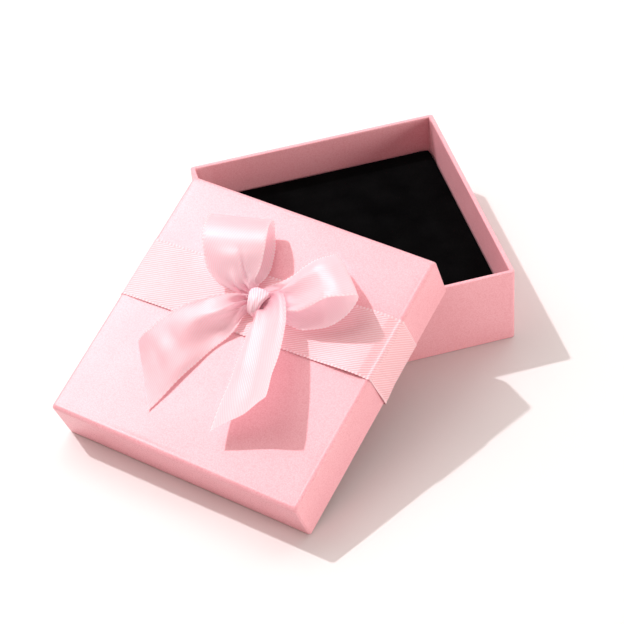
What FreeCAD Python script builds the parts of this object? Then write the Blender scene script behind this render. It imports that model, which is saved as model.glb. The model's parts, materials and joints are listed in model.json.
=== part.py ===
import FreeCAD, Part
import math
import os

from FreeCAD import Placement, Rotation, Vector

# Jewelry gift box, standing open: a square board tray with a velvet pad in it, and its lid,
# which leans on the tray with its front edge on the table. A satin ribbon goes over the lid
# and carries a tied bow. Millimetres, +Z up, origin at the centre of the tray's underside.

# Tray
TRAY_SIZE = 86.4
TRAY_HEIGHT = 28.7
# Lid: square, and larger than the tray by two walls and a running clearance
LID_SIZE = 90.0
LID_HEIGHT = 17.7
# Both are greyboard, wrapped in paper on the outside and turned in over the edge
BOARD = 1.3
PAPER = 0.125
CORNER_RADIUS = 1.0
LID_EDGE_RADIUS = 1.3
TURN_UNDER = 12.0
BASE_SHEET_INSET = 2.0
STAY_LEG = 9.0
STAY_THICKNESS = 0.08
STAY_END_GAP = 2.0
# Pad
PAD_TOP = 15.0
PAD_CLEARANCE = 0.3
PAD_CORNER_RADIUS = 1.5
VELVET = 0.8
VELVET_TURN_UNDER = 10.0
# Satin ribbon, 22 mm wide once its woven edges are counted
RIBBON_WIDTH = 21.5
RIBBON = 0.2
BAND_CENTRE = 10.4
BAND_SKEW = 1.9
BAND_TUCK = 12.0
# Bow: its knot's place on the lid, and the knot's half axes
KNOT_X = 1.3
KNOT_Y = 10.8
KNOT_HEIGHT = 5.0
KNOT_HALF = (4.3, 3.6, 3.7)
KNOT_TURN = 65.0
GLUE_RADIUS = 3.0
BOW_THICKNESS = 0.35
# The lid's pose: where its front left corner stands, its turn, and how far it stays off the rim
LID_CORNER = (-103.6, -37.8)
LID_YAW = -47.0
REST_GAP = 0.35

WALL = BOARD + 2 * PAPER
TRAY_FLOOR = 2 * PAPER + BOARD
LID_CEILING = LID_HEIGHT - PAPER - BOARD

# Each stretch of the bow is a row of rungs across the ribbon, from the knot outwards:
# (x, y, height of the rung's middle, its heading, its slope, its length), in the lid's frame
# from the point under the knot. A loop's row goes out on top and comes back underneath.
LOOP_LEFT = (
    (-4.8, 1.5, 4.7, 23, 14, 5.5),
    (-8.1, 1.8, 6.5, 28, 5, 10.5),
    (-11.2, 4.9, 8.5, 19, 0, 17),
    (-13.4, 10.1, 10.5, 17, 0, 20),
    (-15.3, 14.7, 11.5, 16, 0, 21),
    (-17.2, 19.2, 10.5, 16, 0, 21),
    (-18.9, 23.3, 6.8, 14, 0, 21),
    (-18.6, 21.6, 2.8, 13, 0, 21),
    (-16.4, 17.2, 1.5, 16, 0, 21),
    (-14.2, 12.9, 1.2, 18, 0, 20),
    (-11.4, 9.0, 1.2, 20, 0, 17),
    (-8.0, 5.1, 1.7, 22, 3, 10.5),
    (-5.4, 2.7, 2.5, 26, 6, 5.5),
)
LOOP_RIGHT = (
    (3.2, 2.2, 5.4, -45, -12, 5.5),
    (7.6, 2.9, 7.0, -52, -10, 9),
    (11.8, 4.6, 9.0, -53, -5, 13),
    (15.1, 7.5, 11.0, -51, 0, 15),
    (18.8, 10.9, 12.8, -49, 9, 17),
    (22.5, 13.5, 12.5, -43, 13, 19),
    (24.6, 16.0, 9.6, -39, 12, 20),
    (23.4, 13.1, 6.0, -47, 12, 21.5),
    (21.0, 9.5, 4.3, -48, 11, 21),
    (18.0, 6.0, 3.2, -45, 8, 19),
    (14.4, 3.0, 2.8, -44, 7, 16),
    (11.0, 0.5, 2.8, -40, 6, 13),
    (6.1, -0.7, 2.5, -30, 3, 9),
)
TAIL_LEFT = (
    (-4.6, -2.6, 3.6, -50, -15, 6.5),
    (-6.6, -6.4, 4.8, -44, -26, 11),
    (-9.3, -10.4, 5.2, -32, -33, 14),
    (-13.6, -15.4, 4.7, -30, -27, 16.5),
    (-17.4, -21.5, 3.6, -31, -18, 18.5),
    (-20.3, -27.6, 2.3, -35, -10, 20),
    (-22.9, -35.5, 1.2, -51, -4, 24),
)
TAIL_RIGHT = (
    (2.6, -3.6, 3.0, 20, 14, 6),
    (4.4, -4.9, 4.8, 40, 16, 11.5),
    (7.0, -7.6, 6.6, 36, 19, 14.5),
    (9.3, -12.8, 8.0, 29, 21, 16.5),
    (11.4, -19.7, 8.7, 22, 27, 18.5),
    (13.6, -27.5, 9.5, 18, 32, 20),
    (16.6, -38.5, 10.6, 41, 26, 22),
)
STEPS_PER_SPAN = 3


def box(half_x, half_y, z0, z1):
    """A plain block, centred on the Z axis."""
    corner = Vector(-half_x, -half_y, z0)
    return Part.makeBox(2 * half_x, 2 * half_y, z1 - z0, corner)


def rounded_block(size, z0, z1, corner_radius, top_radius=0.0):
    """A square block with round upright corners and, if asked, a round top edge."""
    block = box(size / 2, size / 2, z0, z1)
    upright = [e for e in block.Edges if abs(e.Vertexes[0].Z - e.Vertexes[1].Z) > 1.0]
    block = block.makeFillet(corner_radius, upright)
    if top_radius:
        top = [e for e in block.Edges if all(abs(v.Z - z1) < 1e-6 for v in e.Vertexes)]
        block = block.makeFillet(top_radius, top)
    return block


def mitre_wedge(turn, reach, z0, z1):
    """The quarter of space that one wall takes: its ends are cut at 45 degrees."""
    corners = [Vector(0, 0, z0), Vector(reach, -reach, z0), Vector(reach, reach, z0)]
    face = Part.Face(Part.makePolygon(corners + corners[:1]))
    wedge = face.extrude(Vector(0, 0, z1 - z0))
    wedge.rotate(Vector(0, 0, 0), Vector(0, 0, 1), turn)
    return wedge


def corner_stays(core, size, z0, z1):
    """Four paper tapes, each pressed into the outside of one upright corner of the boards."""
    inner = rounded_block(
        size - 2 * STAY_THICKNESS, z0, z1, CORNER_RADIUS - PAPER - STAY_THICKNESS
    )
    skin = core.cut(inner)
    half = size / 2
    stays = []
    for side_x in (-1, 1):
        for side_y in (-1, 1):
            centre = Vector(side_x * half, side_y * half, 0)
            cell = box(STAY_LEG, STAY_LEG, z0, z1)
            cell.translate(centre)
            stays.append(skin.common(cell))
    return stays


def split_walls(ring, size, z0, z1):
    """The right, back, left and front boards of a ring of wall board."""
    walls = []
    for quarter in range(4):
        walls.append(ring.common(mitre_wedge(90 * quarter, size, z0, z1)))
    return walls


def make_tray():
    board_size = TRAY_SIZE - 2 * PAPER
    inner = TRAY_SIZE / 2 - WALL
    board_inner = inner + PAPER
    under = 2 * PAPER
    board_top = TRAY_HEIGHT - PAPER
    block = rounded_block(board_size, under, board_top, CORNER_RADIUS - PAPER)
    room = box(board_inner, board_inner, TRAY_FLOOR, TRAY_HEIGHT + 1)
    boards = block.cut(room)
    floor_board = box(board_inner, board_inner, under, TRAY_FLOOR)
    ring = boards.cut(floor_board)
    stays = corner_stays(ring, board_size, under + STAY_END_GAP, board_top - STAY_END_GAP)
    ring = ring.cut(Part.Compound(stays))
    right, back, left, front = split_walls(ring, TRAY_SIZE, 0, TRAY_HEIGHT)

    wrap = rounded_block(TRAY_SIZE, PAPER, TRAY_HEIGHT, CORNER_RADIUS)
    wrap = wrap.cut(boards)
    wrap = wrap.cut(box(inner, inner, TRAY_FLOOR, TRAY_HEIGHT + 1))
    margin = TRAY_SIZE / 2 - TURN_UNDER
    wrap = wrap.cut(box(margin, margin, 0, under))

    base_half = TRAY_SIZE / 2 - BASE_SHEET_INSET
    return {
        "tray_floor_board": floor_board,
        "tray_right_wall_board": right,
        "tray_back_wall_board": back,
        "tray_left_wall_board": left,
        "tray_front_wall_board": front,
        "tray_corner_stays": Part.Compound(stays),
        "tray_wrap_paper": wrap,
        "tray_base_paper": box(base_half, base_half, 0, PAPER),
        "tray_floor_lining": box(inner, inner, TRAY_FLOOR, TRAY_FLOOR + PAPER),
    }


def make_pad():
    """A foam block in a velvet cover, which is turned under all round and leaves the middle open."""
    size = TRAY_SIZE - 2 * WALL - 2 * PAD_CLEARANCE
    bottom = TRAY_FLOOR + PAPER
    opening = size / 2 - VELVET_TURN_UNDER
    cover = rounded_block(size, bottom, PAD_TOP, PAD_CORNER_RADIUS, VELVET)
    foam = box(size / 2 - VELVET, size / 2 - VELVET, bottom + VELVET, PAD_TOP - VELVET)
    cover = cover.cut(foam).cut(box(opening, opening, bottom, bottom + VELVET))
    return {"pad_foam": foam, "pad_velvet_cover": cover}


def make_lid():
    board_size = LID_SIZE - 2 * PAPER
    inner = LID_SIZE / 2 - WALL
    board_inner = inner + PAPER
    board_top = LID_HEIGHT - PAPER
    block = rounded_block(
        board_size, PAPER, board_top, CORNER_RADIUS - PAPER, LID_EDGE_RADIUS - PAPER
    )
    boards = block.cut(box(board_inner, board_inner, -1, LID_CEILING))
    ring = boards.common(box(LID_SIZE, LID_SIZE, 0, LID_CEILING))
    top_board = boards.common(box(LID_SIZE, LID_SIZE, LID_CEILING, LID_HEIGHT))
    stays = corner_stays(ring, board_size, PAPER + STAY_END_GAP, LID_CEILING - STAY_END_GAP)
    ring = ring.cut(Part.Compound(stays))
    right, back, left, front = split_walls(ring, LID_SIZE, 0, LID_CEILING)

    wrap = rounded_block(LID_SIZE, 0, LID_HEIGHT, CORNER_RADIUS, LID_EDGE_RADIUS)
    wrap = wrap.cut(boards).cut(box(inner, inner, -1, LID_CEILING))
    wrap = wrap.cut(box(board_inner, board_inner, LID_CEILING - PAPER, LID_CEILING))
    lining = box(board_inner, board_inner, LID_CEILING - PAPER, LID_CEILING)
    return {
        "lid_top_board": top_board,
        "lid_right_wall_board": right,
        "lid_back_wall_board": back,
        "lid_left_wall_board": left,
        "lid_front_wall_board": front,
        "lid_corner_stays": Part.Compound(stays),
        "lid_wrap_paper": wrap,
        "lid_lining": lining,
    }


def make_band():
    """The ribbon round the lid: over the top, down both sides and glued in under the rim."""
    half = LID_SIZE / 2
    skin = rounded_block(
        LID_SIZE + 2 * RIBBON,
        -RIBBON,
        LID_HEIGHT + RIBBON,
        CORNER_RADIUS + RIBBON,
        LID_EDGE_RADIUS + RIBBON,
    )
    lid_outside = rounded_block(LID_SIZE, 0, LID_HEIGHT, CORNER_RADIUS, LID_EDGE_RADIUS)
    inner = half - WALL
    skin = skin.cut(lid_outside.cut(box(inner, inner, -1, BAND_TUCK)))
    hollow = inner - RIBBON
    skin = skin.cut(box(hollow, half + 5, -2, BAND_TUCK))
    strip = box(half + 5, RIBBON_WIDTH / 2, -1, LID_HEIGHT + 1)
    strip.rotate(Vector(0, 0, 0), Vector(0, 0, 1), BAND_SKEW)
    strip.translate(Vector(0, BAND_CENTRE, 0))
    return skin.common(strip)


def smooth(rungs):
    """The rungs with more between them, on a curve that passes through each one."""
    ends = [2 * a - b for a, b in zip(rungs[0], rungs[1])]
    tips = [2 * a - b for a, b in zip(rungs[-1], rungs[-2])]
    row = [ends] + [list(r) for r in rungs] + [tips]
    fine = []
    for p0, p1, p2, p3 in zip(row, row[1:], row[2:], row[3:]):
        for step in range(STEPS_PER_SPAN):
            t = step / STEPS_PER_SPAN
            fine.append([
                b + t * (c - a) / 2
                + t * t * (2 * a - 5 * b + 4 * c - d) / 2
                + t ** 3 * (3 * b - a - 3 * c + d) / 2
                for a, b, c, d in zip(p0, p1, p2, p3)
            ])
    fine.append(list(rungs[-1]))
    return fine


def ribbon_solid(rungs):
    """A stretch of ribbon: thin sections lofted along its rungs, thicker where it is gathered."""
    fine = smooth(rungs)
    middles = [Vector(*r[:3]) for r in fine]
    wires = []
    for i, rung in enumerate(fine):
        heading, slope, length = math.radians(rung[3]), math.radians(rung[4]), rung[5]
        across = Vector(
            math.cos(heading) * math.cos(slope),
            math.sin(heading) * math.cos(slope),
            math.sin(slope),
        )
        along = middles[min(i + 1, len(fine) - 1)] - middles[max(i - 1, 0)]
        normal = along.cross(across)
        normal.normalize()
        half = across * (length / 2)
        lift = normal * (BOW_THICKNESS * math.sqrt(RIBBON_WIDTH / length) / 2)
        middle = middles[i]
        corners = [middle - half - lift, middle + half - lift,
                   middle + half + lift, middle - half + lift]
        wires.append(Part.makePolygon(corners + corners[:1]))
    return Part.makeLoft(wires, True, True)


def make_bow():
    knot = Part.makeSphere(1.0)
    stretch = FreeCAD.Matrix()
    stretch.scale(*KNOT_HALF)
    knot = knot.transformGeometry(stretch)
    knot.rotate(Vector(0, 0, 0), Vector(0, 0, 1), KNOT_TURN)
    knot.translate(Vector(0, 0, KNOT_HEIGHT))
    glue_top = KNOT_HEIGHT - KNOT_HALF[2] + 0.8
    glue = Part.makeCylinder(GLUE_RADIUS, glue_top - RIBBON, Vector(0, 0, RIBBON)).cut(knot)
    parts = {"bow_knot": knot, "bow_glue_dot": glue}
    taken = knot.fuse(glue)
    for name, rungs in (
        ("bow_loop_left", LOOP_LEFT),
        ("bow_loop_right", LOOP_RIGHT),
        ("bow_tail_left", TAIL_LEFT),
        ("bow_tail_right", TAIL_RIGHT),
    ):
        parts[name] = ribbon_solid(rungs).cut(taken)
    for solid in parts.values():
        solid.translate(Vector(KNOT_X, KNOT_Y, LID_HEIGHT))
    return parts


def lid_tilt():
    """The lid's slope: it leans on the tray's front rim and on its left rim, a gap above both."""
    rise = TRAY_HEIGHT + REST_GAP
    over_front = math.asin(rise / (LID_SIZE - WALL))
    yaw = math.radians(LID_YAW)
    reach = -TRAY_SIZE / 2 - LID_CORNER[0] - math.cos(yaw) * WALL
    over_left = math.atan(rise * -math.sin(yaw) / reach)
    return math.degrees(max(over_front, over_left))


def lean(shape):
    """From the lid's own frame, centred under it, to its place against the tray."""
    shape.translate(Vector(LID_SIZE / 2, LID_SIZE / 2, 0))
    turn = Rotation(Vector(0, 0, 1), LID_YAW) * Rotation(Vector(1, 0, 0), lid_tilt())
    shape.transformShape(Placement(Vector(*LID_CORNER, 0), turn).toMatrix())
    return shape


def main():
    os.makedirs("parts", exist_ok=True)
    nodes = make_tray()
    nodes.update(make_pad())
    leaning = make_lid()
    leaning["ribbon_band"] = make_band()
    leaning.update(make_bow())
    for name, shape in leaning.items():
        nodes[name] = lean(shape)
    for name, shape in nodes.items():
        shape.exportStep("parts/" + name + ".step")
        print(name, len(shape.Solids), shape.isValid(), round(shape.Volume, 2))


main()
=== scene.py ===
import bpy
import json
from math import cos, exp, log, pi, radians, sin, sqrt, tan
from mathutils import Matrix, Vector, noise


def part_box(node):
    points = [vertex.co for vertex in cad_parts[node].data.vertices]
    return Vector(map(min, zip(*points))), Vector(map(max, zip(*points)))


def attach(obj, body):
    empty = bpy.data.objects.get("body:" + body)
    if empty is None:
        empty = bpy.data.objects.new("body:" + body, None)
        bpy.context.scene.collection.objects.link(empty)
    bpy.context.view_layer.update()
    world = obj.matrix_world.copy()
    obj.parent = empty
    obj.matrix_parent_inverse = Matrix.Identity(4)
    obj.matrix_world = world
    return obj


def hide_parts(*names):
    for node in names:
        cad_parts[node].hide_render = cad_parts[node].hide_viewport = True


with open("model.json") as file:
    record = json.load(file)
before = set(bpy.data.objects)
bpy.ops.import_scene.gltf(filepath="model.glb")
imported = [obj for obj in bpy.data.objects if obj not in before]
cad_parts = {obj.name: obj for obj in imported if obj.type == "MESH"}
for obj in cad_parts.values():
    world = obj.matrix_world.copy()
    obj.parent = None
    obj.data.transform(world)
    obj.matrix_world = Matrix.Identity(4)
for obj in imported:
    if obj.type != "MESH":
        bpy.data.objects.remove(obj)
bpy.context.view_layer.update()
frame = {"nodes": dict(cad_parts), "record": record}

# Jewelry gift box: a pink paper tray with a black velvet pad, its lid leaning on it, and a satin
# bow on the lid. The tray and the lid are modelled in frames of their own, in millimetres, and
# placed in the row's frame in metres. Sizes below are in millimetres and degrees.

# Wrapping paper
CORNER_RADIUS = 1.0
LID_EDGE_RADIUS = 1.3
RIM_RADIUS = 0.45
TURN_UNDER = 12.0
SEAM_DEPTH = 0.12
INNER_GAP = 4.0
FLAP_WIDTH = 2.0
FLAP_LIFT = 0.13
WAVINESS = 0.07
SCORE_DEPTH = 0.03
PEBBLE = 0.42
FLECK = 0.3
CLOUD = 14.0
PAPER_BUMP = 0.035
PAPER_SMOOTHEST = 0.12
PAPER_ROUGH_RANGE = 0.40
# Pad
PAD_STEP = 1.8
PAD_EDGE_RADIUS = 0.7
PAD_CORNER_RADIUS = 2.0
PAD_INSET = 0.1
PAD_PILE = 0.55
PAD_CROWN = 0.3
# Satin ribbon
RIBBON_WIDTH = 21.5
RIBBON = 0.2
SELVAGE = 0.6
PICOT_PITCH = 1.2
PICOT = 0.16
TWILL_PITCH = 0.88
TWILL_LEAN = 0.55
ROW_STEP = 0.19
BAND_CENTRE = 10.4
BAND_SKEW = 1.9
BAND_DRIFT = 3.8
BAND_TUCK = 12.0
BAND_LIFT = 0.25
BAND_RIPPLE = 0.12
BAND_SWELL = 0.8
BAND_LIP = 0.2
BAND_LEFT_SHIFT = 0.35
BAND_STAND_OFF = 0.45
LEAST_CLEARANCE = 0.35
SATIN_BUMP = 0.03
# Satin's finish, loose in the bow or laid flat: its roughness, its lustre across, its gloss
LOOSE_FINISH = (0.46, 0.45, 1.0)
LAID_FINISH = (0.40, 0.6, 0.6)
LOOSE_IOR = 2.15
LIGHT_THROUGH = (1.0, 0.86, 0.91, 1.0)
# Camera and light
LENS = 115.2
CAMERA_AZIMUTH = -11.7
CAMERA_ELEVATION = 43.1
CAMERA_ROLL = -5.1
CAMERA_DISTANCE = 674.5
AIM_RIGHT = -13.2
AIM_UP = -10.15
# Each sun: its name, the way it travels, its strength, how wide its source looks, its colour
LIGHTS = (
    ("key", (0.482, -0.545, -1.0), 1.6, 1.6, (1.0, 0.97, 1.0)),
    ("front_card", (-0.7, 0.7, -0.13), 1.5, 30, (1.0, 1.0, 0.94)),
    ("back_card", (-0.5, -0.5, -0.707), 0.75, 60, (0.9, 1.0, 1.0)),
)
# The soft box stands along the key light's line, close enough to fade across the lid
SOFT_BOX_SIZE = 520.0
SOFT_BOX_DISTANCE = 450.0
SOFT_BOX_POWER = 1.05
SOFT_BOX_COLOUR = (1.0, 1.0, 0.97)
SKY_COLOUR = (1.0, 0.77, 0.73, 1)
SKY_STRENGTH = 0.45
FLOOR_COLOUR = (0.87, 0.87, 0.86, 1)
FLOOR_REACH = 3000

# Bow: rows of rungs across each stretch of ribbon, from the knot outwards, as
# (x, y, height of the rung's middle, its heading, its slope, its length), in the lid's frame
# from the point under the knot. A loop's row goes out on top and comes back underneath.
# The rows weren't chosen by hand: other programs worked them out from marks along the ribbon's
# edges, so they aren't an example to follow.
LOOP_LEFT = (
    (-4.8, 1.5, 4.7, 23, 14, 5.5),
    (-8.1, 1.8, 6.5, 28, 5, 10.5),
    (-11.2, 4.9, 8.5, 19, 0, 17),
    (-13.4, 10.1, 10.5, 17, 0, 20),
    (-15.3, 14.7, 11.5, 16, 0, 21),
    (-17.2, 19.2, 10.5, 16, 0, 21),
    (-18.9, 23.3, 6.8, 14, 0, 21),
    (-18.6, 21.6, 2.8, 13, 0, 21),
    (-16.4, 17.2, 1.5, 16, 0, 21),
    (-14.2, 12.9, 1.2, 18, 0, 20),
    (-11.4, 9.0, 1.2, 20, 0, 17),
    (-8.0, 5.1, 1.7, 22, 3, 10.5),
    (-5.4, 2.7, 2.5, 26, 6, 5.5),
)
LOOP_RIGHT = (
    (3.2, 2.2, 5.4, -45, -12, 5.5),
    (7.6, 2.9, 7.0, -52, -10, 9),
    (11.8, 4.6, 9.0, -53, -5, 13),
    (15.1, 7.5, 11.0, -51, 0, 15),
    (18.8, 10.9, 12.8, -49, 9, 17),
    (22.5, 13.5, 12.5, -43, 13, 19),
    (24.6, 16.0, 9.6, -39, 12, 20),
    (23.4, 13.1, 6.0, -47, 12, 21.5),
    (21.0, 9.5, 4.3, -48, 11, 21),
    (18.0, 6.0, 3.2, -45, 8, 19),
    (14.4, 3.0, 2.8, -44, 7, 16),
    (11.0, 0.5, 2.8, -40, 6, 13),
    (6.1, -0.7, 2.5, -30, 3, 9),
)
TAIL_LEFT = (
    (-4.6, -2.6, 3.6, -50, -15, 6.5),
    (-6.9, -6.3, 4.3, -43, -20, 11.2),
    (-9.9, -10.1, 4.2, -31, -23, 14.2),
    (-14.5, -15, 3.2, -30, -16, 17.2),
    (-17.9, -21.1, 2.6, -31, -11, 19.3),
    (-20.3, -27.5, 2.3, -35, -9, 20.2),
    (-23.2, -35.4, 0.7, -51, -2, 24.3),
)
TAIL_RIGHT = (
    (1.1, -1.5, 4.1, 75, 18, 7.3),
    (3.3, -1.3, 5.6, 69, 14, 11.2),
    (4.9, -2.4, 6.6, 59, 16, 13.4),
    (6.9, -5.8, 7.3, 39, 19, 14.1),
    (8.2, -9.4, 7.6, 35, 20, 15.7),
    (9.4, -12.8, 8.0, 30, 22, 16.5),
    (11.4, -19.6, 8.7, 22, 27, 18.5),
    (13.6, -27.4, 9.5, 19, 32, 20.1),
    (16.6, -38.4, 10.6, 41, 26, 22.1),
)
WAIST = 5.0
DEEPEST_FOLD = 1.5
# How each stretch is folded: the number of pleats and where they start, then the sharp creases as
# (place across at the knot, place across at its end, length, width, height), and the soft hollows
# and ridges as (length along, place across, reach along, reach across, height)
LOOP_LEFT_SHAPE = {
    "folds": 3.0, "phase": 0.4,
    "creases": ((0.80, 0.12, 21.0, 0.14, -1.5), (0.93, 0.30, 19.0, 0.16, 0.8)),
    "dents": ((12.5, 0.0, 4.5, 0.6, -1.2),),
}
LOOP_RIGHT_SHAPE = {"folds": 3.0, "phase": 1.9, "creases": (), "dents": ()}
TAIL_LEFT_SHAPE = {
    "folds": 3.0, "phase": 0.9,
    "creases": ((0.42, -0.10, 15.0, 0.22, 1.1),),
    "dents": (
        (15.0, 0.60, 6.0, 0.50, -1.0), (30.0, -0.45, 7.0, 0.45, -1.2), (31.0, 0.75, 9.0, 0.40, 0.6),
    ),
}
TAIL_RIGHT_SHAPE = {"folds": 3.0, "phase": 2.6, "creases": (), "dents": ((36.0, 0.1, 13.0, 0.5, -1.7),)}

# Knot: one turn of ribbon folded to a narrow face, wide at its back end and narrow at its front
KNOT_PLACE = (0.2, -0.9, 4.6)
KNOT_TURN = 95.0
KNOT_REACH = 4.7
KNOT_HEIGHT = 3.3
KNOT_FACE = 4.6
KNOT_FOLD_RIGHT = 0.4
KNOT_FOLD_LEFT = 0.65
KNOT_UNDER = 4.9
KNOT_TAPER = 0.38
KNOT_WRAP = 330

MM = 0.001
SCALE = Matrix.Scale(MM, 4)


# ---------------------------------------------------------------- frames read off the CAD

def node_size(name):
    low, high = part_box(name)
    return (high - low) / MM


def lid_place():
    """The lid's own frame in the row's: x along its front wall, z out of its top, at its rim."""
    lining = frame["nodes"]["lid_lining"].data
    up = max((f for f in lining.polygons if f.normal.z > 0), key=lambda f: f.area).normal
    along = Vector((0, 0, 1)).cross(up).normalized()
    turn = Matrix((along, up.cross(along), up)).transposed().to_4x4()
    back = turn.inverted()
    points = [back @ v.co for v in frame["nodes"]["lid_wrap_paper"].data.vertices]
    low = Vector(map(min, zip(*points)))
    high = Vector(map(max, zip(*points)))
    origin = Vector(((low.x + high.x) / 2, (low.y + high.y) / 2, low.z))
    return turn @ Matrix.Translation(origin) @ SCALE, (high - low) / MM


LID_PLACE, LID_BOX = lid_place()
LID_SIZE = LID_BOX.x
LID_HEIGHT = LID_BOX.z
TRAY_SIZE = node_size("tray_wrap_paper").x
TRAY_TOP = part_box("tray_wrap_paper")[1].z / MM
TRAY_INSIDE = node_size("tray_floor_lining").x
PAPER = node_size("tray_floor_lining").z
FLOOR_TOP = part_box("tray_floor_lining")[0].z / MM
WALL = (TRAY_SIZE - TRAY_INSIDE) / 2
KNOT_LOW, KNOT_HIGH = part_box("bow_knot")
KNOT = LID_PLACE.inverted() @ ((KNOT_LOW + KNOT_HIGH) / 2)
BOW_PLACE = LID_PLACE @ Matrix.Translation((KNOT.x, KNOT.y, LID_HEIGHT))


# ---------------------------------------------------------------- mesh helpers

def mesh_piece(name, points, faces, place=SCALE, uvs=None):
    """A new piece from points in millimetres; uvs gives each point's place on the flat sheet."""
    mesh = bpy.data.meshes.new(name)
    mesh.from_pydata([place @ Vector(p) for p in points], [], faces)
    if uvs:
        layer = mesh.uv_layers.new(name="sheet")
        for loop in mesh.loops:
            layer.data[loop.index].uv = uvs[loop.vertex_index]
    mesh.polygons.foreach_set("use_smooth", [True] * len(mesh.polygons))
    mesh.validate()
    mesh.update()
    piece = bpy.data.objects.new(name, mesh)
    bpy.context.scene.collection.objects.link(piece)
    return piece


def strip_faces(rows, columns, closed_columns=False):
    """Quads over a grid of points that was listed row by row."""
    last = columns if closed_columns else columns - 1
    faces = []
    for r in range(rows - 1):
        for c in range(last):
            a = r * columns + c
            b = r * columns + (c + 1) % columns
            faces.append((a, b, b + columns, a + columns))
    return faces


def thicken(piece, thickness, offset):
    """Gives a sheet its thickness: offset -1 grows it inwards, 0 both ways."""
    solid = piece.modifiers.new("thickness", "SOLIDIFY")
    solid.thickness = thickness * MM
    solid.offset = offset


def finish_piece(piece, look, body, slot, *stands_for):
    piece.data.materials.append(look)
    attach(piece, body)
    if stands_for:
        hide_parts(*stands_for)
    return piece


def smoothstep(low, high, x):
    t = min(max((x - low) / (high - low), 0), 1)
    return t * t * (3 - 2 * t)


def rest_on(height, least):
    """A height that eases onto the least one instead of going under it."""
    soft = 0.15
    above = (height - least) / soft
    return least + soft * (above if above > 30 else log(1 + exp(above)))


def blend_points(p0, p1, p2, p3, t):
    """A point between p1 and p2 on the smooth curve through all four."""
    return [
        b + t * (c - a) / 2
        + t * t * (2 * a - 5 * b + 4 * c - d) / 2
        + t ** 3 * (3 * b - a - 3 * c + d) / 2
        for a, b, c, d in zip(p0, p1, p2, p3)
    ]


# ---------------------------------------------------------------- materials

def new_material(name):
    made = bpy.data.materials.new(name)
    made.use_nodes = True
    tree = made.node_tree
    shader = tree.nodes["Principled BSDF"]
    return made, tree, shader


def add_node(tree, kind, settings=(), **inputs):
    """A node with its settings and input values; an input given as a socket is linked."""
    node = tree.nodes.new(kind)
    for key, value in dict(settings).items():
        setattr(node, key, value)
    for key, value in inputs.items():
        socket = node.inputs[int(key[1:])] if key[0] == "i" and key[1:].isdigit() else node.inputs[key]
        if isinstance(value, bpy.types.NodeSocket):
            tree.links.new(value, socket)
        else:
            socket.default_value = value
    return node


def math_node(tree, operation, a, b=0.0, c=0.0, clamp=False):
    settings = {"operation": operation, "use_clamp": clamp}
    return add_node(tree, "ShaderNodeMath", settings, i0=a, i1=b, i2=c).outputs[0]


def object_position(tree):
    return add_node(tree, "ShaderNodeTexCoord").outputs["Object"]


def noise_at(tree, where, size, detail=2.0, roughness=0.5):
    """Noise whose blotches are about that many millimetres across."""
    return add_node(
        tree, "ShaderNodeTexNoise", Vector=where, Scale=1 / (size * MM), Detail=detail, Roughness=roughness
    ).outputs["Fac"]


def ramp(tree, factor, *stops):
    """A colour ramp; each stop is (position, colour)."""
    node = add_node(tree, "ShaderNodeValToRGB", Fac=factor)
    points = node.color_ramp.elements
    while len(points) < len(stops):
        points.new(0.5)
    for point, (position, colour) in zip(points, stops):
        point.position = position
        point.color = (*colour, 1)
    return node.outputs["Color"]


def bump(tree, height, depth, normal=None):
    """A bump of that depth in millimetres."""
    node = add_node(tree, "ShaderNodeBump", Height=height, Strength=1.0, Distance=depth * MM)
    if normal:
        tree.links.new(normal, node.inputs["Normal"])
    return node.outputs["Normal"]


def pearl_paper(name, tone, gloss):
    """Pearly embossed wrapping paper: a fine pebble grain that is lighter on its high spots."""
    made, tree, shader = new_material(name)
    where = object_position(tree)
    pebble = add_node(
        tree, "ShaderNodeTexVoronoi", {"feature": "SMOOTH_F1"}, Vector=where, Scale=1 / (PEBBLE * MM)
    ).outputs["Distance"]
    fleck = noise_at(tree, where, FLECK, detail=3.0, roughness=0.7)
    cloud = noise_at(tree, where, CLOUD, detail=2.0)
    grain = math_node(tree, "MULTIPLY_ADD", fleck, 0.7, math_node(tree, "MULTIPLY", pebble, -0.5))
    mixed = math_node(tree, "MULTIPLY_ADD", cloud, 0.2, grain)
    dark = [c * f for c, f in zip(tone, (0.95, 0.87, 0.88))]
    light = [min(c * f, 1) for c, f in zip(tone, (1.03, 1.14, 1.12))]
    colour = ramp(tree, mixed, (0.10, dark), (0.27, tone), (0.44, light))
    tree.links.new(colour, shader.inputs["Base Color"])
    rough = math_node(tree, "MULTIPLY_ADD", fleck, PAPER_ROUGH_RANGE, PAPER_SMOOTHEST)
    tree.links.new(rough, shader.inputs["Roughness"])
    tree.links.new(bump(tree, grain, PAPER_BUMP), shader.inputs["Normal"])
    shader.inputs["Specular IOR Level"].default_value = gloss
    return made


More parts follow.
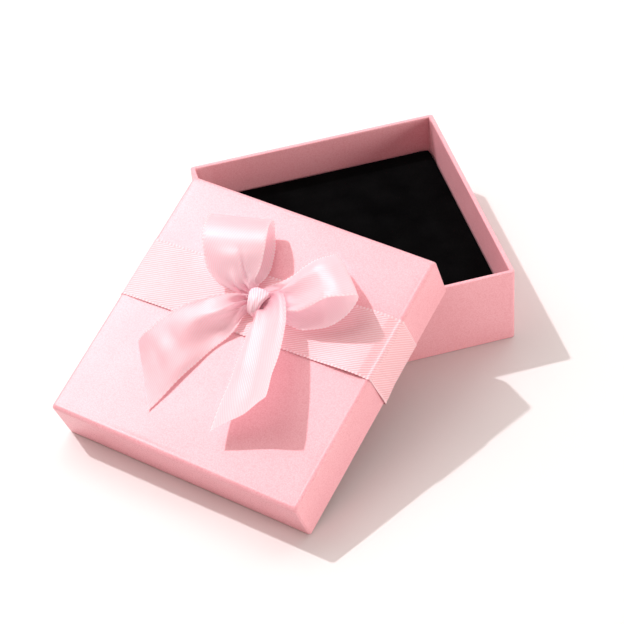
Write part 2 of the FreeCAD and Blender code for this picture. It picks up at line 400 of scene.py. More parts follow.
def satin(name, tones, borders, clear):
    """Satin ribbon: fine twill, lustre that spreads across it, woven edges; clear lets light through."""
    made, tree, shader = new_material(name)
    base_rough, lustre, gloss = LOOSE_FINISH if clear else LAID_FINISH
    flat = add_node(tree, "ShaderNodeUVMap", {"uv_map": "sheet"}).outputs["UV"]
    split = add_node(tree, "ShaderNodeSeparateXYZ", Vector=flat)
    across = split.outputs["X"]
    along = split.outputs["Y"]
    from_edge = math_node(tree, "SUBTRACT", RIBBON_WIDTH / 2, math_node(tree, "ABSOLUTE", across))
    edge = math_node(tree, "LESS_THAN", from_edge, SELVAGE)
    line = math_node(tree, "MULTIPLY_ADD", along, -TWILL_LEAN, across)
    twill = math_node(tree, "SINE", math_node(tree, "MULTIPLY", line, 2 * pi / TWILL_PITCH))
    knots = math_node(tree, "COSINE", math_node(tree, "MULTIPLY", along, 2 * pi / PICOT_PITCH))
    uneven = noise_at(tree, object_position(tree), 1.2, detail=3.0)
    weave = math_node(tree, "MULTIPLY", twill, math_node(tree, "MULTIPLY_ADD", uneven, 1.0, 0.4))
    surface = add_node(
        tree, "ShaderNodeMix", {"data_type": "FLOAT"}, i0=edge, i2=weave, i3=knots
    ).outputs[0]
    body = ramp(
        tree, math_node(tree, "MULTIPLY_ADD", weave, 0.5, 0.5),
        (0.0, tones[0]), (1.0, tones[1]),
    )
    border = ramp(
        tree, math_node(tree, "MULTIPLY_ADD", knots, 0.5, 0.5),
        (0.2, borders[0]), (0.8, borders[1]),
    )
    colour = add_node(
        tree, "ShaderNodeMix", {"data_type": "RGBA"}, i0=edge, i6=body, i7=border
    ).outputs[2]
    if clear:
        # Painted shade: towards the knot end of each loose stretch its colour turns a deeper pink, for the
        # shade and bounce light between the gathered folds
        gathered = add_node(
            tree, "ShaderNodeMapRange", {"interpolation_type": "SMOOTHSTEP"},
            i0=along, i1=KNOT_PAINTED_SHADE_START, i2=KNOT_PAINTED_SHADE_END, i3=KNOT_PAINTED_SHADE_AMOUNT, i4=0.0,
        ).outputs[0]
        colour = add_node(
            tree, "ShaderNodeMix", {"data_type": "RGBA"}, i0=gathered, i6=colour, i7=(*KNOT_PAINTED_SHADE_PINK, 1)
        ).outputs[2]
    tree.links.new(colour, shader.inputs["Base Color"])
    tree.links.new(bump(tree, surface, SATIN_BUMP), shader.inputs["Normal"])
    rough = math_node(tree, "MULTIPLY_ADD", edge, 0.15, base_rough)
    tree.links.new(rough, shader.inputs["Roughness"])
    tangent = add_node(tree, "ShaderNodeTangent", {"direction_type": "UV_MAP", "uv_map": "sheet"})
    tree.links.new(tangent.outputs["Tangent"], shader.inputs["Tangent"])
    shader.inputs["Anisotropic"].default_value = lustre
    shader.inputs["Specular IOR Level"].default_value = gloss
    if clear:
        through = add_node(tree, "ShaderNodeBsdfTranslucent", Color=LIGHT_THROUGH)
        shader.inputs["IOR"].default_value = LOOSE_IOR
        both = tree.nodes.new("ShaderNodeMixShader")
        both.inputs[0].default_value = clear
        tree.links.new(shader.outputs[0], both.inputs[1])
        tree.links.new(through.outputs[0], both.inputs[2])
        tree.links.new(both.outputs[0], tree.nodes["Material Output"].inputs["Surface"])
    return made


def velvet(name):
    """Black velvet: a deep short pile with brushed patches, and the faintest sheen."""
    made, tree, shader = new_material(name)
    where = object_position(tree)
    brushed = noise_at(tree, where, 9.0, detail=3.0)
    pile = noise_at(tree, where, 0.35, detail=2.0, roughness=0.7)
    mixed = math_node(tree, "MULTIPLY_ADD", brushed, 0.6, math_node(tree, "MULTIPLY", pile, 0.5))
    colour = ramp(tree, mixed, (0.3, (0.0012, 0.0012, 0.0013)), (0.75, (0.0045, 0.0045, 0.0047)))
    tree.links.new(colour, shader.inputs["Base Color"])
    tree.links.new(bump(tree, mixed, 0.25), shader.inputs["Normal"])
    shader.inputs["Roughness"].default_value = 1.0
    shader.inputs["Specular IOR Level"].default_value = 0.0
    shader.inputs["Sheen Weight"].default_value = 0.006
    shader.inputs["Sheen Roughness"].default_value = 0.35
    return made


def plain_fibre(name, dark, light, grain, depth, roughness):
    """Board, plain paper or tape: two tones mixed by a fibre grain, with the same grain as bump."""
    made, tree, shader = new_material(name)
    where = object_position(tree)
    stretched = add_node(tree, "ShaderNodeMapping", Vector=where, Scale=(1.0, 2.2, 1.0)).outputs[0]
    fibre = noise_at(tree, stretched, grain, detail=5.0, roughness=0.65)
    colour = ramp(tree, fibre, (0.3, dark), (0.7, light))
    tree.links.new(colour, shader.inputs["Base Color"])
    tree.links.new(bump(tree, fibre, depth), shader.inputs["Normal"])
    shader.inputs["Roughness"].default_value = roughness
    shader.inputs["Specular IOR Level"].default_value = 0.25
    return made


def foam_look(name):
    """Charcoal packing foam with open cells."""
    made, tree, shader = new_material(name)
    cells = add_node(
        tree, "ShaderNodeTexVoronoi", {"feature": "F1"}, Vector=object_position(tree), Scale=1 / (0.7 * MM)
    ).outputs["Distance"]
    colour = ramp(tree, cells, (0.1, (0.006, 0.006, 0.006)), (0.7, (0.05, 0.05, 0.052)))
    tree.links.new(colour, shader.inputs["Base Color"])
    tree.links.new(bump(tree, cells, 0.2), shader.inputs["Normal"])
    shader.inputs["Roughness"].default_value = 0.95
    return made


def glue_look(name):
    """Set hot glue: cloudy, softly rippled, a little see-through."""
    made, tree, shader = new_material(name)
    ripple = noise_at(tree, object_position(tree), 1.5, detail=2.0)
    colour = ramp(tree, ripple, (0.3, (0.72, 0.66, 0.55)), (0.7, (0.86, 0.82, 0.72)))
    tree.links.new(colour, shader.inputs["Base Color"])
    tree.links.new(bump(tree, ripple, 0.15), shader.inputs["Normal"])
    shader.inputs["Roughness"].default_value = 0.28
    shader.inputs["Subsurface Weight"].default_value = 0.4
    shader.inputs["Subsurface Scale"].default_value = 1.0 * MM
    return made


PINK = (0.93, 0.46, 0.51)
# Painted shade: near the knot the loose ribbon's colour is mixed towards a deeper pink, standing in for
# the shade and pink bounce light between its gathered folds
KNOT_PAINTED_SHADE_PINK = (0.98, 0.46, 0.55)
KNOT_PAINTED_SHADE_START = 3.0
KNOT_PAINTED_SHADE_END = 12.0
KNOT_PAINTED_SHADE_AMOUNT = 0.8
LOOKS = {
    "pink_paper": pearl_paper("pearl_paper", PINK, 0.38),
    "lining_paper": pearl_paper("lining_paper", (0.90, 0.43, 0.47), 0.3),
    "greyboard": plain_fibre("greyboard", (0.30, 0.28, 0.25), (0.48, 0.46, 0.41), 0.8, 0.06, 0.9),
    "paper_tape": plain_fibre("paper_tape", (0.55, 0.43, 0.30), (0.74, 0.62, 0.47), 0.6, 0.03, 0.7),
    "foam": foam_look("foam"),
    "black_velvet": velvet("black_velvet"),
    "satin_ribbon": satin(
        "satin_ribbon",
        ((0.88, 0.43, 0.47), (0.98, 0.68, 0.72)), ((0.92, 0.52, 0.56), (0.97, 0.68, 0.72)), 0,
    ),
    "hot_glue": glue_look("hot_glue"),
}
LOOSE_SATIN = satin(
    "loose_satin", ((0.98, 0.68, 0.74), (1.0, 0.96, 1.0)), ((0.98, 0.80, 0.84), (1.0, 1.0, 1.0)), 0.55
)
# The knot's satin is opaque and a deeper pink than the loose ribbon's: the ribbon's own pink, with painted
# light and shade standing in for the light that passes through and bounces between its folded layers
KNOT_SATIN_PAINTED_SHADE = satin(
    "knot_satin_painted_shade", ((0.96, 0.57, 0.65), (1.0, 0.79, 0.85)), ((0.96, 0.60, 0.67), (1.0, 0.81, 0.86)), 0
)


# ---------------------------------------------------------------- paper wraps

SIDE_HOLDS = (0.0, 0.35, FLAP_WIDTH - 0.06, FLAP_WIDTH + 0.06)
SIDE_STEPS = 18
# Round a corner: each angle, and how far the seam dips or stands there, in parts of its depth
CORNER_STEPS = ((12, 0), (24, 0), (34, -0.2), (41, -1.0), (46, 0.25), (54, 0.2), (66, 0), (78, 0))


def waves(point, inside):
    """How far glued paper stands off its true plane at a point, in millimetres."""
    x, y, z = point
    slow = noise.noise(Vector((x, y, z)) / 23.0 + Vector((7, 3, 1)) * (2 if inside else 1))
    fast = noise.noise(Vector((x, y, z)) / 7.0 + Vector((1, 9, 4)))
    return WAVINESS * (slow + 0.35 * fast)


def square_ring(half, radius, z, seam, flap):
    """One ring of paper: a square with round corners, with its corner seams and inner flaps."""
    straight = half - radius
    first, last = -straight + SIDE_HOLDS[-1], straight - SIDE_HOLDS[-1]
    places = [-straight + d for d in SIDE_HOLDS]
    places += [first + (last - first) * i / SIDE_STEPS for i in range(1, SIDE_STEPS)]
    places += [straight - d for d in reversed(SIDE_HOLDS)]
    side = []
    for y in places:
        inward = FLAP_LIFT * flap if straight - y < FLAP_WIDTH else 0.0
        side.append((half - inward, y))
    for angle, dip in CORNER_STEPS:
        reach = radius + SEAM_DEPTH * seam * dip
        a = radians(angle)
        inward = FLAP_LIFT * flap * (angle < 45)
        side.append((straight + reach * cos(a) - inward, straight + reach * sin(a)))
    ring = []
    for quarter in range(4):
        c, s = cos(quarter * pi / 2), sin(quarter * pi / 2)
        ring += [(c * x - s * y, s * x + c * y, z) for x, y in side]
    return ring


def arc(centre, start, end, radius, steps):
    """Points round an arc in a wall's upright section, angles from outwards and up."""
    out = []
    for i in range(steps + 1):
        a = radians(start + (end - start) * i / steps)
        out.append((centre[0] + radius * cos(a), centre[1] + radius * sin(a)))
    return out


def between(start, end, steps):
    """The points strictly between two ends of a straight run, close to each end as well."""
    span = sqrt((end[0] - start[0]) ** 2 + (end[1] - start[1]) ** 2)
    near = 0.35 / span
    parts = [near] + [i / steps for i in range(1, steps)] + [1 - near]
    return [tuple(a + (b - a) * t for a, b in zip(start, end)) for t in parts]


def tray_section():
    """The tray paper's path: turned under the floor, up the outside, over the rim and down inside."""
    half = TRAY_SIZE / 2
    inside = half - WALL
    edge = 0.35
    path = [(half - TURN_UNDER, PAPER)]
    path += between((half - TURN_UNDER, PAPER), (half - edge, PAPER), 4)
    path += arc((half - edge, PAPER + edge), -90, 0, edge, 4)
    path += between((half, PAPER + edge), (half, TRAY_TOP - RIM_RADIUS), 9)
    path += arc((half - RIM_RADIUS, TRAY_TOP - RIM_RADIUS), 0, 90, RIM_RADIUS, 5)
    path += arc((inside + RIM_RADIUS, TRAY_TOP - RIM_RADIUS), 90, 180, RIM_RADIUS, 5)
    path += between((inside, TRAY_TOP - RIM_RADIUS), (inside, FLOOR_TOP), 9)
    path.append((inside, FLOOR_TOP))
    return path


def lid_section():
    """The lid paper's path: inside under the top board, down to the rim, up the outside, over the top."""
    half = LID_SIZE / 2
    inside = half - WALL
    ceiling = LID_HEIGHT - WALL + PAPER
    path = [(inside, ceiling)]
    path += between((inside, ceiling), (inside, RIM_RADIUS), 6)
    path += arc((inside + RIM_RADIUS, RIM_RADIUS), 180, 270, RIM_RADIUS, 5)
    path += arc((half - RIM_RADIUS, RIM_RADIUS), -90, 0, RIM_RADIUS, 5)
    path += between((half, RIM_RADIUS), (half, LID_HEIGHT - LID_EDGE_RADIUS), 6)
    path += arc((half - LID_EDGE_RADIUS, LID_HEIGHT - LID_EDGE_RADIUS), 0, 90, LID_EDGE_RADIUS, 8)
    path.append((half - LID_EDGE_RADIUS - 0.3, LID_HEIGHT - SCORE_DEPTH))
    path.append((half - LID_EDGE_RADIUS - 0.8, LID_HEIGHT))
    path += [(half * t, LID_HEIGHT) for t in (0.93, 0.88, 0.8, 0.68, 0.55, 0.42, 0.29, 0.16, 0.06)]
    return path


def paper_wrap(name, section, size, z_open, place, closed_top):
    """Sweeps a section round the square; the paper is smooth but not perfectly flat."""
    half = size / 2
    inside = half - WALL
    points = []
    for r, z in section:
        flat_top = closed_top and z > LID_HEIGHT - 1e-6
        within = r <= inside + 1e-6 and abs(z - z_open) > 1e-6 and not flat_top
        outer = max(r - inside, 0) / WALL
        depth = half - r
        corner = CORNER_RADIUS - min(depth, CORNER_RADIUS * 0.7)
        if closed_top and z > LID_HEIGHT - LID_EDGE_RADIUS:
            corner = max(CORNER_RADIUS - depth * 0.2, 0.3)
        seam = smoothstep(0.35, 1.0, outer) if not (closed_top and z > LID_HEIGHT - 0.05) else 0.0
        flap = 0.0
        if within:
            corner, seam, flap = 0.3, -INNER_GAP, 1.0
        for x, y, level in square_ring(r, corner, z, seam, flap):
            out = waves((x, y, z), within)
            wall_x = abs(x) > abs(y)
            middle = 1 - (min(abs(x), abs(y)) / half) ** 2
            if flat_top:
                level += out * middle
            elif wall_x:
                x += (out if x > 0 else -out) * middle
            else:
                y += (out if y > 0 else -out) * middle
            points.append((x, y, level))
    columns = 4 * (2 * len(SIDE_HOLDS) + SIDE_STEPS - 1 + len(CORNER_STEPS))
    rows = len(section)
    faces = strip_faces(rows, columns, closed_columns=True)
    if closed_top:
        points.append((0, 0, LID_HEIGHT))
        first = (rows - 1) * columns
        faces += [(first + c, first + (c + 1) % columns, rows * columns) for c in range(columns)]
    piece = mesh_piece(name, points, faces, place)
    thicken(piece, PAPER * 0.9, -1)
    return piece


def make_wraps():
    tray = paper_wrap("tray_wrap", tray_section(), TRAY_SIZE, TRAY_TOP, SCALE, False)
    finish_piece(tray, LOOKS["pink_paper"], "tray", "pink_paper", "tray_wrap_paper")
    lid = paper_wrap("lid_wrap", lid_section(), LID_SIZE, 0.0, LID_PLACE, True)
    finish_piece(lid, LOOKS["pink_paper"], "lid", "pink_paper", "lid_wrap_paper")


# ---------------------------------------------------------------- ribbons

def column_places():
    """Where a ribbon's columns lie across it, from -1 to 1: close together in its woven edges."""
    edge = SELVAGE / (RIBBON_WIDTH / 2)
    rim = [1.0, 1 - edge * 0.3, 1 - edge * 0.65, 1 - edge, 1 - edge * 1.5]
    inner = 34
    half = [-(1 - edge * 1.5) * (1 - 2 * i / inner) for i in range(1, inner)]
    return [-w for w in rim] + half + list(reversed(rim))


COLUMNS = column_places()


def picot(w, length):
    """The woven edge's small loops: how far a point moves outwards and up, in millimetres."""
    beat = 0.5 + 0.5 * cos(2 * pi * length / PICOT_PITCH)
    edge = SELVAGE / (RIBBON_WIDTH / 2)
    inwards = (1 - abs(w)) / edge
    out = PICOT * beat * max(1 - 3 * inwards, 0)
    up = 0.07 * (0.4 + 0.6 * beat) * smoothstep(1.3, 0.6, inwards) if inwards < 1.3 else 0.0
    return out * (1 if w > 0 else -1), up


def ribbon_mesh(name, sections, place):
    """A ribbon from its sections: each is the length along it and its points across, in order.

    It is one surface, so that light comes through it once, as through the thin cloth."""
    points, uvs = [], []
    for length, row in sections:
        for w, point in zip(COLUMNS, row):
            points.append(point)
            uvs.append((w * RIBBON_WIDTH / 2, length))
    faces = strip_faces(len(sections), len(COLUMNS))
    return mesh_piece(name, points, faces, place, uvs)


# ---- the band round the lid

def band_path():
    """The band's run round the lid in its upright section, as (x, z, outwards x, outwards z)."""
    half = LID_SIZE / 2
    gap = RIBBON * 0.75
    inside = half - WALL
    run = []
    run += [(inside - gap, BAND_TUCK - i * 0.5, -1, 0) for i in range(int((BAND_TUCK - RIM_RADIUS) / 0.5))]
    for centre, start, end in (
        ((inside + RIM_RADIUS, RIM_RADIUS), 180, 270),
        ((half - RIM_RADIUS, RIM_RADIUS), 270, 360),
    ):
        for i in range(7):
            a = radians(start + (end - start) * i / 6)
            reach = RIM_RADIUS + gap
            run.append((centre[0] + reach * cos(a), centre[1] + reach * sin(a), cos(a), sin(a)))
    run += [(half + gap, z, 1, 0) for z in (3, 6, 9, 12, 15)]
    for i in range(9):
        a = radians(90 * i / 8)
        reach = LID_EDGE_RADIUS + gap
        x = half - LID_EDGE_RADIUS + reach * cos(a)
        z = LID_HEIGHT - LID_EDGE_RADIUS + reach * sin(a)
        run.append((x, z, cos(a), sin(a)))
    top = [(half - LID_EDGE_RADIUS - 1 - i * 2, LID_HEIGHT + gap, 0, 1) for i in range(21)]
    run += top
    return mirror_join(run)


def mirror_join(run):
    """The whole run from the left tuck to the right one, from the half on the right side."""
    left = [(-x, z, -nx, nz) for x, z, nx, nz in run]
    return left + run[::-1]


def even_rows(path, step):
    """Points every step along a path of tuples whose first two values are its place."""
    lengths = [0.0]
    for a, b in zip(path, path[1:]):
        lengths.append(lengths[-1] + sqrt((b[0] - a[0]) ** 2 + (b[1] - a[1]) ** 2))
    count = int(lengths[-1] / step)
    rows, i = [], 0
    for k in range(count + 1):
        s = lengths[-1] * k / count
        while i < len(path) - 2 and lengths[i + 1] < s:
            i += 1
        t = (s - lengths[i]) / max(lengths[i + 1] - lengths[i], 1e-9)
        rows.append((s, [a + (b - a) * t for a, b in zip(path[i], path[i + 1])]))
    return rows, lengths[-1]


def band_roll(x):
    """How far the band stands up beside the lid's right edge, where it was pulled over it."""
    swell = BAND_SWELL * smoothstep(-22, -5, x) * smoothstep(-1.2, -4.6, x)
    lip = BAND_LIP * smoothstep(-1.4, -0.5, x)
    return swell + lip


def make_band():
    path = band_path()
    rows, total = even_rows(path, ROW_STEP)
    sections = []
    half = LID_SIZE / 2
    for s, (x, z, nx, nz) in rows:
        shift = BAND_CENTRE + x * tan(radians(BAND_SKEW))
        down = LID_HEIGHT - z if abs(x) > half - 3 else 0.0
        if x > half - 3:
            shift += max(down, 0) * tan(radians(BAND_DRIFT)) * smoothstep(0, 3, down)
        else:
            shift += BAND_LEFT_SHIFT * smoothstep(2, 10, down)
        on_top = smoothstep(half - 1, half - 10, abs(x)) if z > LID_HEIGHT else 0.0
        row = []
        for w in COLUMNS:
            out, up = picot(w, s)
            y = shift + w * RIBBON_WIDTH / 2 + out
            ripple = BAND_RIPPLE * noise.noise(Vector((x / 9, y / 9, 3)))
            lift = on_top * (BAND_LIFT * (0.35 + 0.65 * w * w) + ripple * (0.3 + w * w)) + up
            lift += band_roll(x - half) * (z > LID_HEIGHT - LID_EDGE_RADIUS)
            lift += BAND_STAND_OFF * smoothstep(3, 15, down) * smoothstep(0.2, 1, -w) * (x > 0)
            lift += max(waves((x, y, z), False), 0) + 0.02
            row.append((x + nx * lift, y, z + nz * lift))
        sections.append((s, row))
    band = ribbon_mesh("ribbon_band_satin", sections, LID_PLACE)
    finish_piece(band, LOOKS["satin_ribbon"], "lid", "satin_ribbon", "ribbon_band")


# ---- the bow

def fine_rungs(rungs, steps):
    """The rungs with more between them, on the smooth curve through each one."""
    before = [2 * a - b for a, b in zip(rungs[0], rungs[1])]
    after = [2 * a - b for a, b in zip(rungs[-1], rungs[-2])]
    row = [before] + [list(r) for r in rungs] + [after]
    fine = []
    for p0, p1, p2, p3 in zip(row, row[1:], row[2:], row[3:]):
        fine += [blend_points(p0, p1, p2, p3, i / steps) for i in range(steps)]
    fine.append(list(rungs[-1]))
    return fine


def fold_height(w, gathered, folds, phase):
    """The section of a gathered ribbon: a soft arch where it is wide, tight pleats at the knot."""
    arch = 1 - w * w
    coarse = cos(pi * folds * 0.5 * w + phase)
    tight = cos(pi * folds * (w + 0.08 * sin(5 * w + phase)) + 1.7 * phase)
    mix = gathered * gathered
    pleats = 1.5 * (1 - mix) * coarse + mix * tight
    return (1 - gathered) * 1.4 * arch + gathered * pleats


def section_depth(chord, heights):
    """How deep the folds are, so that the section is as long as the ribbon is wide."""
    spare = RIBBON_WIDTH - chord
    if spare <= 0:
        return 0.0
    low, high = 0.0, 6.0
    steps = list(zip(COLUMNS, COLUMNS[1:], heights, heights[1:]))
    for _ in range(18):
        depth = (low + high) / 2
        length = sum(sqrt(((b - a) * chord / 2) ** 2 + (depth * (d - c)) ** 2) for a, b, c, d in steps)
        if length < RIBBON_WIDTH:
            low = depth
        else:
            high = depth
    return depth * smoothstep(0, 5, spare)


def into_knot(rung):
    """A rung inside the knot, where the ribbon is gathered tightest."""
    x, y, z, heading, slope, length = rung
    return (0.3 * x, 0.3 * y - 0.6, 4.6, heading, 0.5 * slope, min(length, WAIST))


def dent_rise(dents, s, w):
    """How far soft hollows and ridges move the ribbon at a length along it and a place across it."""
    rise = 0.0
    for at_s, at_w, reach_s, reach_w, height in dents:
        near = ((s - at_s) / reach_s) ** 2 + ((w - at_w) / reach_w) ** 2
        rise += height * exp(-near)
    return rise


def crease_rise(creases, s, w):
    """How far sharp creases, which run outwards from the knot, move the ribbon there."""
    rise = 0.0
    for near_w, far_w, reach, width, height in creases:
        off = w - (near_w + (far_w - near_w) * s / reach)
        fade = 1 - smoothstep(0.5 * reach, reach, s)
        rise += height * fade * max(1 - abs(off) / width, 0) ** 1.6
    return rise


def bow_stretch(name, rungs, out_side, shape, stands_for):
    """One stretch of the bow's ribbon, from its rungs. out_side is +1 where its face is up."""
    fine = fine_rungs(rungs, 10)
    middles = [Vector(r[:3]) for r in fine]
    lengths = [0.0]
    for a, b in zip(middles, middles[1:]):
        lengths.append(lengths[-1] + (b - a).length)
    before = [2 * middles[0] - middles[1]] + middles[:-1]
    after = middles[1:] + [2 * middles[-1] - middles[-2]]
    runs = [(b - a).normalized() for a, b in zip(before, after)]
    total = lengths[-1]
    count = int(total / ROW_STEP)
    sections, i = [], 0
    for k in range(count + 1):
        s = total * k / count
        while i < len(fine) - 2 and lengths[i + 1] < s:
            i += 1
        t = (s - lengths[i]) / max(lengths[i + 1] - lengths[i], 1e-9)
        near = [a + (b - a) * t for a, b in zip(fine[i], fine[i + 1])]
        middle = Vector(near[:3])
        heading, slope, chord = radians(near[3]), radians(near[4]), near[5]
        across = Vector((cos(heading) * cos(slope), sin(heading) * cos(slope), sin(slope)))
        normal = runs[i].lerp(runs[i + 1], t).cross(across).normalized() * out_side
        gathered = min(max((RIBBON_WIDTH - chord) / (RIBBON_WIDTH - 7), 0), 1)
        heights = [fold_height(w, gathered, shape["folds"], shape["phase"]) for w in COLUMNS]
        depth = section_depth(chord, heights)
        depth /= (1 + (depth / DEEPEST_FOLD) ** 4) ** 0.25
        mean = sum(heights) / len(heights)
        row = []
        for w, height in zip(COLUMNS, heights):
            out, up = picot(w, s)
            rise = depth * (height - mean * (1 - gathered) * 0.6 - mean * gathered)
            rise += crease_rise(shape["creases"], s, w) + dent_rise(shape["dents"], s, w)
            point = middle + across * (w * chord / 2 + out) + normal * (rise + up)
            point.z = rest_on(point.z, LEAST_CLEARANCE)
            row.append(point)
        sections.append((s, row))
    piece = ribbon_mesh(name, sections, BOW_PLACE)
    finish_piece(piece, LOOSE_SATIN, "lid", "satin_ribbon", stands_for)


def knot_section(w):
    """Across the knot: the ribbon's face is narrow, and its two sides are folded under it in turn."""
    side, fold = (1, KNOT_FOLD_RIGHT) if w > 0 else (-1, KNOT_FOLD_LEFT)
    turn = fold * pi
    flat = abs(w) * (KNOT_FACE / 2 + turn + KNOT_UNDER)
    over = flat - KNOT_FACE / 2
    if over <= 0:
        return side * flat, 0.0
    if over < turn:
        a = over / fold
        return side * (KNOT_FACE / 2 + fold * sin(a)), -fold * (1 - cos(a))
    return side * (KNOT_FACE / 2 - (over - turn)), -2 * fold


def make_knot():
    """The knot: one turn of folded ribbon round the waist of the bow."""
    around = 120
    turn = Matrix.Translation(KNOT_PLACE) @ Matrix.Rotation(radians(KNOT_TURN), 4, "Z")
    mean_reach = (KNOT_REACH + KNOT_HEIGHT - KNOT_FOLD_RIGHT - KNOT_FOLD_LEFT) / 2
    length = 2 * pi * mean_reach * KNOT_WRAP / 360
    sections = []
    for i in range(around + 1):
        angle = radians(KNOT_WRAP * (i / around - 0.5))
        narrow = 1 + KNOT_TAPER * sin(angle)
        row = []
        for w in COLUMNS:
            y, under = knot_section(w)
            t = y / (KNOT_FACE / 2 + KNOT_FOLD_RIGHT)
            round_off = 1 - 0.16 * t * t
            crease = 0.14 * cos(2.6 * pi * t + 0.9 + 1.1 * angle) * max(1 + under, 0)
            r = KNOT_REACH * round_off + crease + under
            z = r * cos(angle) * KNOT_HEIGHT / KNOT_REACH
            row.append(turn @ Vector((r * sin(angle), y * narrow, z)))
        sections.append((length * i / around, row))
    knot = ribbon_mesh("bow_knot_satin", sections, BOW_PLACE)
    finish_piece(knot, KNOT_SATIN_PAINTED_SHADE, "lid", "satin_ribbon", "bow_knot")


def make_bow():
    for name, rungs, out_side, shape in (
        ("bow_loop_left", LOOP_LEFT, -1, LOOP_LEFT_SHAPE),
        ("bow_loop_right", LOOP_RIGHT, -1, LOOP_RIGHT_SHAPE),
        ("bow_tail_left", TAIL_LEFT, 1, TAIL_LEFT_SHAPE),
        ("bow_tail_right", TAIL_RIGHT, 1, TAIL_RIGHT_SHAPE),
    ):
        run = [into_knot(rungs[0])] + list(rungs)
        if "loop" in name:
            run.append(into_knot(rungs[-1]))
        bow_stretch(name + "_satin", run, out_side, shape, name)
    make_knot()


# ---------------------------------------------------------------- the velvet pad

def grid_lines(low, high, step):
    """Places from low to high about a step apart, with a closer one inside each rounded edge."""
    radius = PAD_EDGE_RADIUS
    count = max(round((high - low - 2 * radius) / step), 1)
    inner = [low + radius + (high - low - 2 * radius) * i / count for i in range(count + 1)]
    return [low, low + radius / 2] + inner + [high - radius / 2, high]


def pad_point(x, y, z, half, low, high):
    """A point of a square block's skin, moved onto the block with its corners and edges rounded."""
    straight = half - PAD_CORNER_RADIUS
    over = Vector((max(abs(x) - straight, 0), max(abs(y) - straight, 0)))
    level = max(abs(x), abs(y))
    middle_z = min(max(z, low + PAD_EDGE_RADIUS), high - PAD_EDGE_RADIUS)
    off = Vector((max(level - half + PAD_EDGE_RADIUS, 0), z - middle_z))
    if off.x > 0 and off.y:
        off *= PAD_EDGE_RADIUS / off.length
        z = middle_z + off.y
        new_level = half - PAD_EDGE_RADIUS + off.x
    else:
        new_level = level
    if over.x > 0 and over.y > 0:
        over *= (new_level - straight) / over.length
        return (straight + over.x) * (1 if x > 0 else -1), (straight + over.y) * (1 if y > 0 else -1), z
    return (
        x * new_level / level if abs(x) == level else x,
        y * new_level / level if abs(y) == level else y,
        z,
    )


def make_pad():
    """The velvet pad: a block with a fine skin, puffed up as cloth and held in the tray's walls."""
    low, high = (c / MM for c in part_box("pad_velvet_cover"))
    side = (high.x - low.x) / 2
    half = side - PAD_INSET
    top = high.z + PAD_PILE
    flat = grid_lines(-half, half, PAD_STEP)
    upright = grid_lines(low.z, top, PAD_STEP)
    last, last_up = len(flat) - 1, len(upright) - 1
    points, numbers, faces = [], {}, []

    def number(i, j, k):
        if (i, j, k) not in numbers:
            numbers[i, j, k] = len(points)
            points.append(pad_point(flat[i], flat[j], upright[k], half, low.z, top))
        return numbers[i, j, k]

    for i in range(last):
        for j in range(last):
            faces.append([number(i + a, j + b, last_up) for a, b in ((0, 0), (1, 0), (1, 1), (0, 1))])
            faces.append([number(i + a, j + b, 0) for a, b in ((0, 0), (0, 1), (1, 1), (1, 0))])
        for k in range(last_up):
            faces.append([number(i + a, 0, k + b) for a, b in ((0, 0), (1, 0), (1, 1), (0, 1))])
            faces.append([number(i + a, last, k + b) for a, b in ((0, 0), (0, 1), (1, 1), (1, 0))])
            faces.append([number(0, i + a, k + b) for a, b in ((0, 0), (0, 1), (1, 1), (1, 0))])
            faces.append([number(last, i + a, k + b) for a, b in ((0, 0), (1, 0), (1, 1), (0, 1))])
    pad = mesh_piece("pad_velvet", points, faces)
    before = [v.co.copy() for v in pad.data.vertices]
    inflate(pad)
    for vertex, start in zip(pad.data.vertices, before):
        move = vertex.co - start
        if move.length > PAD_CROWN * MM:
            move *= PAD_CROWN * MM / move.length
        where = start + move
        vertex.co = (
            min(max(where.x, -side * MM), side * MM),
            min(max(where.y, -side * MM), side * MM),
            max(where.z, low.z * MM),
        )
    pad.modifiers.new("smooth", "SUBSURF").render_levels = 1
    finish_piece(pad, LOOKS["black_velvet"], "pad", "black_velvet", "pad_velvet_cover")


def bake_modifiers(piece):
    """Applies a piece's modifiers to its mesh."""
    graph = bpy.context.evaluated_depsgraph_get()
    made = bpy.data.meshes.new_from_object(piece.evaluated_get(graph), depsgraph=graph)
    piece.modifiers.clear()
    piece.data = made
    return piece


def inflate(piece):
    """Puffs a piece up as cloth under a little pressure, and keeps the result as its mesh."""
    scene = bpy.context.scene
    cloth = piece.modifiers.new("cloth", "CLOTH")
    cloth.settings.effector_weights.gravity = 0.0
    cloth.settings.use_pressure = True
    cloth.settings.uniform_pressure_force = 4.0
    cloth.settings.quality = 6
    for number in range(1, 21):
        scene.frame_set(number)
    bake_modifiers(piece)
    scene.frame_set(1)


# ---------------------------------------------------------------- CAD nodes that stay

def dress_cad_nodes():
    """Gives each CAD node the look of its own material slot."""
    for part in frame["record"]["subparts"]:
        node = frame["nodes"][part["node"]]
        node.data.materials.clear()
        node.data.materials.append(LOOKS[part["material_slot"]])


# ---------------------------------------------------------------- stage

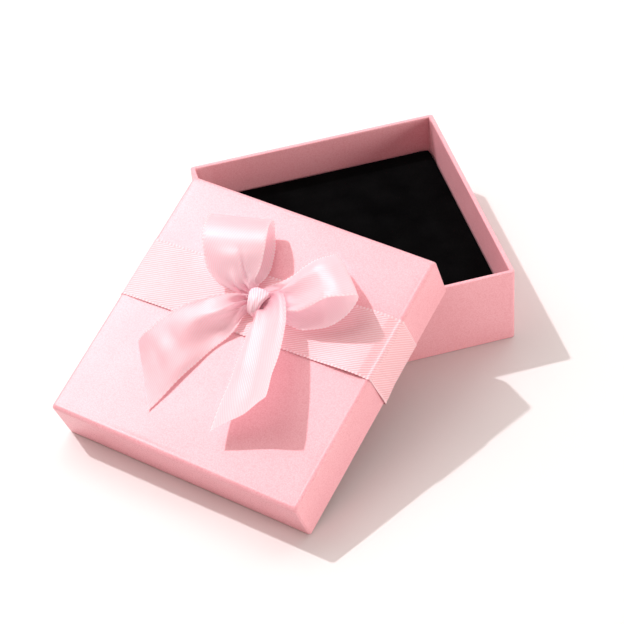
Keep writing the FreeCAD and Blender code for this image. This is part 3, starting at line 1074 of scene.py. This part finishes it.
def make_stage():
    """A plain pale floor, a soft sky, the key light with its soft box, and two wide cards of light."""
    made, tree, shader = new_material("floor")
    shader.inputs["Base Color"].default_value = FLOOR_COLOUR
    shader.inputs["Roughness"].default_value = 0.9
    shader.inputs["Specular IOR Level"].default_value = 0.1
    corners = [(x * FLOOR_REACH, y * FLOOR_REACH, 0) for x, y in ((-1, -1), (1, -1), (1, 1), (-1, 1))]
    floor = mesh_piece("floor", corners, [(0, 1, 2, 3)])
    floor.data.materials.append(made)

    world = bpy.data.worlds.new("sky")
    world.use_nodes = True
    background = world.node_tree.nodes["Background"]
    background.inputs["Color"].default_value = SKY_COLOUR
    background.inputs["Strength"].default_value = SKY_STRENGTH
    bpy.context.scene.world = world

    for name, travel, energy, spread, colour in LIGHTS:
        light = bpy.data.lights.new(name, "SUN")
        light.energy = energy
        light.angle = radians(spread)
        light.color = colour
        lamp = bpy.data.objects.new(name, light)
        lamp.rotation_mode = "QUATERNION"
        lamp.rotation_quaternion = Vector(travel).to_track_quat("-Z", "Y")
        bpy.context.scene.collection.objects.link(lamp)
    light = bpy.data.lights.new("soft_box", "AREA")
    light.shape = "DISK"
    light.size = SOFT_BOX_SIZE * MM
    light.energy = SOFT_BOX_POWER
    light.color = SOFT_BOX_COLOUR
    travel = Vector(LIGHTS[0][1]).normalized()
    lamp = bpy.data.objects.new("soft_box", light)
    lamp.rotation_mode = "QUATERNION"
    lamp.rotation_quaternion = travel.to_track_quat("-Z", "Y")
    lamp.location = LID_PLACE @ Vector((0, 0, LID_HEIGHT)) - travel * SOFT_BOX_DISTANCE * MM
    bpy.context.scene.collection.objects.link(lamp)
    bpy.context.scene.view_settings.view_transform = "Standard"


def make_camera():
    """The camera at the photograph's viewing angle, aimed beside the tray's centre."""
    azimuth, elevation, roll = radians(CAMERA_AZIMUTH), radians(CAMERA_ELEVATION), radians(CAMERA_ROLL)
    back = Vector((sin(azimuth) * cos(elevation), -cos(azimuth) * cos(elevation), sin(elevation)))
    level = Vector((0, 0, 1)).cross(back).normalized()
    upright = back.cross(level)
    right = level * cos(roll) + upright * sin(roll)
    up = upright * cos(roll) - level * sin(roll)
    place = (back * CAMERA_DISTANCE + right * AIM_RIGHT + up * AIM_UP) * MM
    lens = bpy.data.cameras.new("camera")
    lens.lens = LENS
    lens.sensor_width = 36
    lens.clip_start = 0.01
    lens.clip_end = 20
    camera = bpy.data.objects.new("camera", lens)
    camera.matrix_world = Matrix.Translation(place) @ Matrix((right, up, back)).transposed().to_4x4()
    bpy.context.scene.collection.objects.link(camera)
    bpy.context.scene.camera = camera


make_camera()
make_stage()
dress_cad_nodes()
make_wraps()
make_band()
make_bow()
make_pad()
